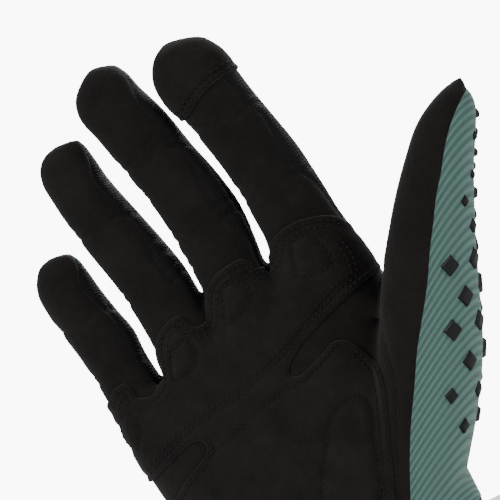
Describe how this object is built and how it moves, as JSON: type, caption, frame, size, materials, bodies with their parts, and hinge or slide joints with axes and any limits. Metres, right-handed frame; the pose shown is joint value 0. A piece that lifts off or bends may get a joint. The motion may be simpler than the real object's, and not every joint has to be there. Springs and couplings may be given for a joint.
{
  "type": "cycling glove",
  "caption": "Right-hand full-finger cycling glove, black suede palm with a scalloped overlay, teal ribbed knit back with rubber diamonds on the thumb.",
  "frame": {"origin": "centre of the cuff's opening, in the plane of its lower edge", "axes": "+Z runs along the hand towards the fingertips, +X points to the thumb side, the palm faces -Y and the back of the hand +Y"},
  "size_m": [0.1525, 0.0628, 0.22],
  "materials": {
    "suede": "matt",
    "overlay": "matt",
    "knit": "satin",
    "mesh": "matt",
    "elastic": "matt",
    "rubber": "satin"
  },
  "bodies": {
    "root": {"back_panel": "knit", "cuff": "elastic", "diamond_row10_at122": "rubber", "diamond_row10_at38": "rubber", "diamond_row10_at80": "rubber", "diamond_row11_at101": "rubber", "diamond_row11_at143": "rubber", "diamond_row11_at17": "rubber", "diamond_row11_at59": "rubber", "diamond_row12_at122": "rubber", "diamond_row12_at38": "rubber", "diamond_row12_at80": "rubber", "diamond_row1_at80": "rubber", "diamond_row2_at101": "rubber", "diamond_row2_at59": "rubber", "diamond_row3_at122": "rubber", "diamond_row3_at80": "rubber", "diamond_row4_at101": "rubber", "diamond_row4_at59": "rubber", "diamond_row5_at122": "rubber", "diamond_row5_at38": "rubber", "diamond_row5_at80": "rubber", "diamond_row6_at101": "rubber", "diamond_row6_at143": "rubber", "diamond_row6_at59": "rubber", "diamond_row7_at101": "rubber", "diamond_row7_at143": "rubber", "diamond_row7_at17": "rubber", "diamond_row7_at59": "rubber", "diamond_row8_at122": "rubber", "diamond_row8_at38": "rubber", "diamond_row8_at80": "rubber", "diamond_row9_at101": "rubber", "diamond_row9_at143": "rubber", "diamond_row9_at17": "rubber", "diamond_row9_at59": "rubber", "fingertip_cap": "overlay", "palm_overlay": "overlay", "palm_panel": "suede", "strip_index_side": "mesh", "strip_middle_index": "mesh", "strip_pinky_ring": "mesh", "strip_ring_middle": "mesh", "thumb_front": "suede"}
  },
  "joints": []
}
